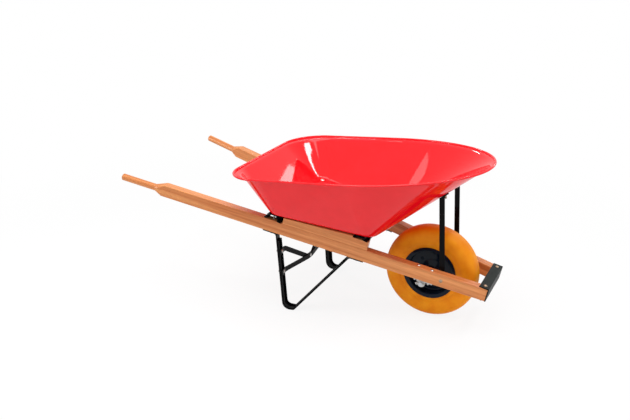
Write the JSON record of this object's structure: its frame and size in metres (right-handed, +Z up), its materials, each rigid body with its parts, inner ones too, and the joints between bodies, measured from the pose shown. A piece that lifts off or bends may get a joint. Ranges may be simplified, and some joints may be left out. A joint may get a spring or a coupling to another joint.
{
  "type": "wheelbarrow",
  "caption": "Contractor's wheelbarrow: deep pressed steel tray on splayed wooden handles, with braced channel legs, a nose guard and a solid-tyred wheel that turns.",
  "frame": {"origin": "on the ground, under the middle of the overall length, on the centre plane", "axes": "+X forwards to the wheel, +Y to the left of someone pushing, +Z up"},
  "size_m": [1.4842, 0.69, 0.6459],
  "materials": {
    "lacquered_wood": "satin lacquer",
    "red_enamel": "gloss",
    "black_enamel": "gloss",
    "guard_enamel": "satin",
    "zinc_plate": "bright zinc plate",
    "axle_steel": "turned",
    "bearing_steel": "ground",
    "rim_enamel": "gloss",
    "tyre_foam": "matt"
  },
  "bodies": {
    "frame": {"handle_right": "lacquered_wood", "handle_left": "lacquered_wood", "wedge_right": "lacquered_wood", "wedge_left": "lacquered_wood", "rear_strap": "black_enamel", "front_strap": "black_enamel", "tray": "red_enamel", "tray_bolts": "zinc_plate", "tray_bolt_nuts": "zinc_plate", "leg_right": "black_enamel", "leg_left": "black_enamel", "leg_brace_upper": "black_enamel", "leg_brace_lower": "black_enamel", "leg_brace_bolts": "zinc_plate", "leg_brace_nuts": "zinc_plate", "front_brace_right": "black_enamel", "front_brace_left": "black_enamel", "front_brace_bolts": "zinc_plate", "front_brace_nuts": "zinc_plate", "nose_guard": "guard_enamel", "nose_guard_bolts": "zinc_plate", "nose_guard_nuts": "zinc_plate", "axle_bracket_right": "zinc_plate", "axle_bracket_left": "zinc_plate", "axle_bracket_bolts": "zinc_plate", "axle_bracket_nuts": "zinc_plate", "axle": "axle_steel", "axle_spacer_right": "zinc_plate", "axle_spacer_left": "zinc_plate", "axle_washers": "zinc_plate", "axle_cotters": "zinc_plate"},
    "wheel": {"tyre": "tyre_foam", "rim_right": "rim_enamel", "rim_left": "rim_enamel", "hub": "rim_enamel", "bearing_right": "bearing_steel", "bearing_left": "bearing_steel", "rim_bolts": "rim_enamel", "rim_nuts": "rim_enamel"}
  },
  "joints": [
    {"name": "wheel_spin", "type": "hinge", "parent": "frame", "child": "wheel", "pos_m": [0.48876, 0, 0.186], "axis": [0, 1, 0], "continuous": true}
  ]
}
